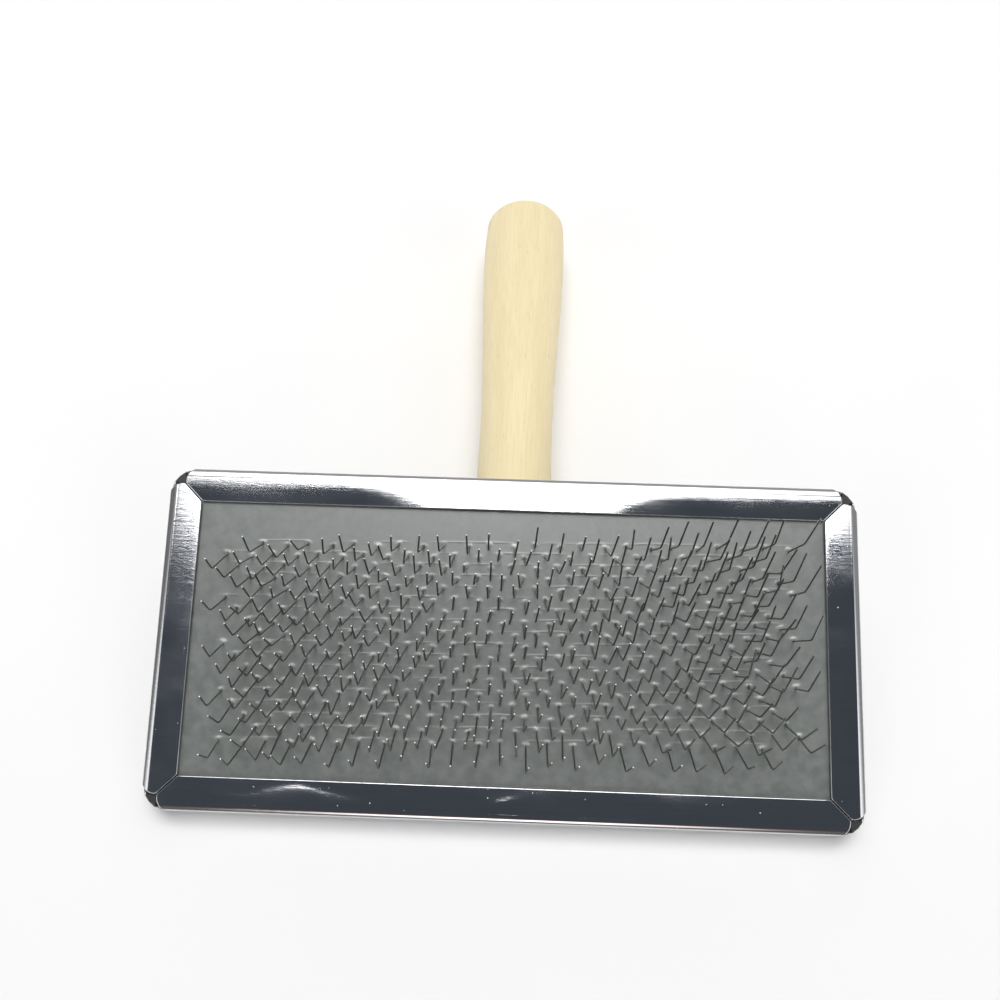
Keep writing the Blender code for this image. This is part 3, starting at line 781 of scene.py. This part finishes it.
def rubber_marks(x, y, rows):
    """Height, whitening_and_glint and stretch of the rubber's face at grid points.

    A wire sits in a small pit with a pulled-up lip, whitened on the handle side, where painted
    glints lie as well. A fine stretched line runs along each row, broken into dashes.
    """
    rise = np.zeros_like(x)
    whitening_and_glint = np.zeros_like(x)
    stretch = np.zeros_like(x)
    draw = random.Random(5)
    twist_sin, twist_cos = math.sin(CLOTH_TWIST), math.cos(CLOTH_TWIST)
    for pairs in rows:
        middle = (pairs[0][0] + pairs[-1][1]) / 2
        along = (x - middle.x) * twist_cos + (y - middle.y) * twist_sin
        off = -(x - middle.x) * twist_sin + (y - middle.y) * twist_cos
        ripple = 0.0
        for wave in (0.0313, 0.0171, 0.0089):
            phase = draw.uniform(0.0, 2 * math.pi)
            ripple = ripple + np.sin(2 * math.pi * along / wave + phase)
        line_at = 0.00085 + 0.00004 * ripple
        dash = np.clip(0.30 + 0.45 * ripple + draw.uniform(-0.1, 0.25), 0.0, 1.0)
        reach = (pairs[-1][1] - pairs[0][0]).length / 2 + 0.0015
        dash = dash * np.clip((reach - np.abs(along)) / 0.002, 0.0, 1.0)
        fine = np.exp(-((off - line_at) / 0.00009) ** 2) * dash
        stretch = np.maximum(stretch, fine)
        for feet in pairs:
            for foot in feet:
                dx, dy = x - foot.x, y - foot.y
                near = (np.abs(dx) < MARK_REACH) & (np.abs(dy) < MARK_REACH)
                dx, dy = dx[near], dy[near]
                slit = np.exp(-(dx / SLIT_HALF[0]) ** 2 - ((dy - SLIT_BACK) / SLIT_HALF[1]) ** 2)
                slit = slit * draw.uniform(0.0, 1.0) ** 2
                lip = np.exp(-((np.hypot(dx, dy - SLIT_BACK) - LIP_RING) / LIP_HALF) ** 2)
                lip = lip * np.clip(0.5 + dy / LIP_RING, 0.0, 1.0)
                rise[near] += LIP_RISE * lip - SLIT_DEPTH * slit
                # a pale cloud behind each wire: stretched rubber with a painted glint on it
                wide = draw.uniform(0.00035, 0.00060)
                tall = draw.uniform(0.00018, 0.00030)
                slant = draw.uniform(-0.4, 0.4)
                cloud = np.exp(
                    -(dx / wide) ** 2 - ((dy - WHITENING_AND_GLINT_BACK - slant * dx) / tall) ** 2
                )
                whitening_and_glint[near] = np.maximum(whitening_and_glint[near], cloud * draw.uniform(0.35, 1.0))
    rise += 0.00004 * stretch
    return rise, whitening_and_glint, stretch


def rounded_grid(size, corner, columns, lines):
    """Grid points over a rectangle with rounded corners."""
    x, y = np.meshgrid(
        np.linspace(-size[0] / 2, size[0] / 2, columns),
        np.linspace(-size[1] / 2, size[1] / 2, lines),
    )
    in_x = np.clip((np.abs(x) - (size[0] / 2 - corner)) / corner, 0.0, 1.0)
    in_y = np.clip((np.abs(y) - (size[1] / 2 - corner)) / corner, 0.0, 1.0)
    pull_x = in_x * (1 - np.sqrt(1 - in_y ** 2 / 2)) * corner
    pull_y = in_y * (1 - np.sqrt(1 - in_x ** 2 / 2)) * corner
    return x - np.sign(x) * pull_x, y - np.sign(y) * pull_y


def make_rubber(rows, rubber):
    """The rubber face: a fine grid on top, a rim of quads and a flat underside."""
    inset = 2 * (FLANGE - POCKET_MARGIN + FIT_GAP)
    size = (HEAD_WIDTH - inset, HEAD_DEPTH - inset)
    columns, lines = round(size[0] / GRID_X) + 1, round(size[1] / GRID_Y) + 1
    x, y = rounded_grid(size, RUBBER_CORNER, columns, lines)
    rise, whitening_and_glint, stretch = rubber_marks(x, y, rows)
    top = np.stack([x, y, RUBBER_TOP + rise], axis=-1).reshape(-1, 3)
    index = np.arange(lines * columns).reshape(lines, columns)
    quads = np.stack(
        [index[:-1, :-1], index[:-1, 1:], index[1:, 1:], index[1:, :-1]], axis=-1
    ).reshape(-1, 4)
    ring = np.concatenate([index[0, :-1], index[:-1, -1], index[-1, :0:-1], index[:0:-1, 0]])
    below = top[ring].copy()
    below[:, 2] = RUBBER_BOTTOM
    under = np.arange(len(ring)) + len(top)
    rim = np.stack([np.roll(ring, -1), ring, under, np.roll(under, -1)], axis=-1)
    faces = quads.tolist() + rim.tolist() + [under[::-1].tolist()]
    mesh = bpy.data.meshes.new("rubber_face")
    mesh.from_pydata(np.concatenate([top, below]).tolist(), [], faces)
    for name, values in (("whitening_and_glint", whitening_and_glint), ("stretch", stretch)):
        attribute = mesh.attributes.new(name, "FLOAT", "POINT")
        full = np.concatenate([values.ravel(), np.zeros(len(ring))])
        attribute.data.foreach_set("value", full.astype(np.float32))
    mesh.shade_smooth()
    mesh.set_sharp_from_angle(angle=math.radians(60.0))
    return add_piece("rubber_face", mesh, HEAD, [rubber], ["rubber_facing"])


# ---- handle -------------------------------------------------------------------------
def make_handle(wood):
    """The turned handle, cut slanting where it sits against the back plate."""
    outline = handle_outline(14, 40, 8)
    sides = 96
    form = bmesh.new()
    rings = []
    for radius, along in outline:
        ring = []
        for side in range(sides):
            angle = 2 * math.pi * side / sides
            place = (radius * math.cos(angle), radius * math.sin(angle), along)
            ring.append(form.verts.new(place))
        rings.append(ring)
    for near, far in zip(rings, rings[1:]):
        for side in range(sides):
            other = (side + 1) % sides
            form.faces.new((near[side], near[other], far[other], far[side]))
    tip = form.verts.new((0.0, 0.0, 0.0))
    for side in range(sides):
        form.faces.new((rings[-1][side], rings[-1][(side + 1) % sides], tip))
    form.faces.new(rings[0])
    bmesh.ops.recalc_face_normals(form, faces=form.faces)
    to_handle = HANDLE.inverted() @ HEAD
    seat = to_handle @ Vector((0.0, 0.0, -FIT_GAP))
    up = (to_handle.to_3x3() @ Vector((0.0, 0.0, 1.0))).normalized()
    whole = form.verts[:] + form.edges[:] + form.faces[:]
    cut = bmesh.ops.bisect_plane(form, geom=whole, plane_co=seat, plane_no=up, clear_outer=True)
    rim = [item for item in cut["geom_cut"] if isinstance(item, bmesh.types.BMEdge)]
    bmesh.ops.contextual_create(form, geom=rim)
    mesh = mesh_from(form, "turned_handle", math.radians(30.0))
    return add_piece("turned_handle", mesh, HANDLE, [wood], ["handle"])


# ---- camera, light and floor --------------------------------------------------------
def make_camera():
    data = bpy.data.cameras.new("camera")
    data.lens = 36.0
    data.sensor_width = 36.0
    data.clip_start = 0.005
    camera = bpy.data.objects.new("camera", data)
    camera.location = CAMERA_PLACE
    camera.rotation_euler = [math.radians(angle) for angle in CAMERA_ANGLES]
    bpy.context.scene.collection.objects.link(camera)
    bpy.context.scene.camera = camera


def make_floor():
    mesh = bpy.data.meshes.new("floor")
    half = FLOOR_HALF
    corners = [(-half, -half, 0.0), (half, -half, 0.0), (half, half, 0.0), (-half, half, 0.0)]
    mesh.from_pydata(corners, [], [(0, 1, 2, 3)])
    floor = bpy.data.objects.new("floor", mesh)
    bpy.context.scene.collection.objects.link(floor)
    mesh.materials.append(white_floor())


def studio_patch(tree, side, lift):
    """The dark patch where a person stands over the table, as a share from 0 to 1."""
    aside = calc(tree, "ABSOLUTE", side)
    spread = fade(tree, aside, *SPREAD_OVER, 0.0, PATCH_SPREAD)
    right = fade(tree, side, *SPREAD_OVER, 0.0, PATCH_RIGHT)
    brow = calc(tree, "SUBTRACT", calc(tree, "SUBTRACT", lift, spread), right)
    below = fade(tree, brow, *PATCH_TOP)
    above = fade(tree, lift, *PATCH_BOTTOM)
    between = fade(tree, aside, *PATCH_SIDES)
    return calc(tree, "MULTIPLY", calc(tree, "MULTIPLY", below, above), between)


def studio_walls(tree, where):
    """The room's brightness below the ceiling light: dimmer straight ahead and to each side."""
    axes = node(tree, "ShaderNodeSeparateXYZ", {0: where}).outputs
    front = calc(tree, "MULTIPLY", axes["Y"], -1.0)
    bearing = calc(tree, "ABSOLUTE", calc(tree, "ARCTAN2", axes["X"], front))
    off_side = calc(tree, "ABSOLUTE", calc(tree, "SUBTRACT", bearing, math.pi / 2))
    left_right = fade(tree, axes["X"], -0.6, 0.6, WALL_LEFT, WALL_RIGHT)
    beside = fade(tree, off_side, math.radians(16.0), math.radians(34.0))
    ahead = fade(tree, bearing, math.radians(22.0), math.radians(38.0))
    slanting = fade(tree, bearing, math.radians(60.0), math.radians(100.0), WALL_FRONT, WALL_BACK)
    walls = calc(tree, "ADD", left_right, calc(
        tree, "MULTIPLY", beside, calc(tree, "SUBTRACT", slanting, left_right)))
    walls = calc(tree, "ADD", WALL_AHEAD, calc(
        tree, "MULTIPLY", ahead, calc(tree, "SUBTRACT", walls, WALL_AHEAD)))
    low = fade(tree, axes["Z"], 0.20, 0.12)
    return calc(tree, "ADD", walls, calc(
        tree, "MULTIPLY", low, calc(tree, "SUBTRACT", WALL_LOW, walls)))


def studio_ceiling(tree, side, lift):
    """The wide soft light overhead, as a share from 0 to 1."""
    widen = fade(tree, lift, *CEILING_WIDENS, 1.0, CEILING_NARROWED)
    narrow = calc(tree, "MULTIPLY", calc(tree, "ABSOLUTE", side), widen)
    across = fade(tree, narrow, *CEILING_SIDES)
    back = fade(tree, lift, *CEILING_BACK)
    front = fade(tree, lift, *CEILING_FRONT)
    return calc(tree, "MULTIPLY", calc(tree, "MULTIPLY", across, back), front)


def make_light():
    """A room with one wide soft light overhead and a dark patch above the head's front.

    The patch is where a person would stand over the table: the head's flanges mirror it.
    Directions are measured from the head's own z axis.
    """
    world = bpy.data.worlds.new("studio")
    bpy.context.scene.world = world
    world.use_nodes = True
    tree = world.node_tree
    background = tree.nodes["Background"]
    where = node(tree, "ShaderNodeTexCoord").outputs["Generated"]
    turned = node(
        tree, "ShaderNodeVectorRotate", {"Vector": where, "Angle": -HEAD_TILT},
        rotation_type="X_AXIS",
    ).outputs[0]
    part = node(tree, "ShaderNodeSeparateXYZ", {0: turned}).outputs
    side = calc(tree, "ARCTAN2", part["X"], part["Z"])
    lift = calc(tree, "ARCTAN2", part["Y"], part["Z"])
    patch = studio_patch(tree, side, lift)
    walls = studio_walls(tree, where)
    ceiling = studio_ceiling(tree, side, lift)
    glow = calc(tree, "ADD", walls, calc(
        tree, "MULTIPLY", ceiling, calc(tree, "SUBTRACT", CEILING_GLOW, walls)))
    strength = calc(tree, "ADD", glow, calc(
        tree, "MULTIPLY", patch, calc(tree, "SUBTRACT", PATCH_GLOW, glow)))
    cool = fade(tree, lift, math.radians(-34.0), math.radians(-18.0))
    dark = blend(tree, cool, (1.25, 0.97, 0.86, 1.0), (0.80, 0.92, 1.12, 1.0))
    colour = blend(tree, patch, (1.0, 1.0, 1.0, 1.0), dark)
    tree.links.new(colour, background.inputs["Color"])
    tree.links.new(strength, background.inputs["Strength"])


def finish_nodes():
    """Give the CAD nodes that still show their materials."""
    finishes = {
        "core_board": black_board(),
        "cloth_foundation": cotton_cloth(),
        "screw_front": zinc_plate(),
        "screw_rear": bpy.data.materials["zinc_plate"],
    }
    for name, material in finishes.items():
        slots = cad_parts[name].data.materials
        slots.clear()
        slots.append(material)


def build():
    make_camera()
    make_floor()
    make_light()
    rows = staple_feet()
    make_shell(brushed_steel())
    make_rubber(rows, grey_rubber())
    make_pins(rows, pin_wire(), painted_tip_glint())
    make_handle(pale_wood())
    finish_nodes()
    bpy.context.scene.view_settings.view_transform = "Standard"


build()
bpy.context.view_layer.update()
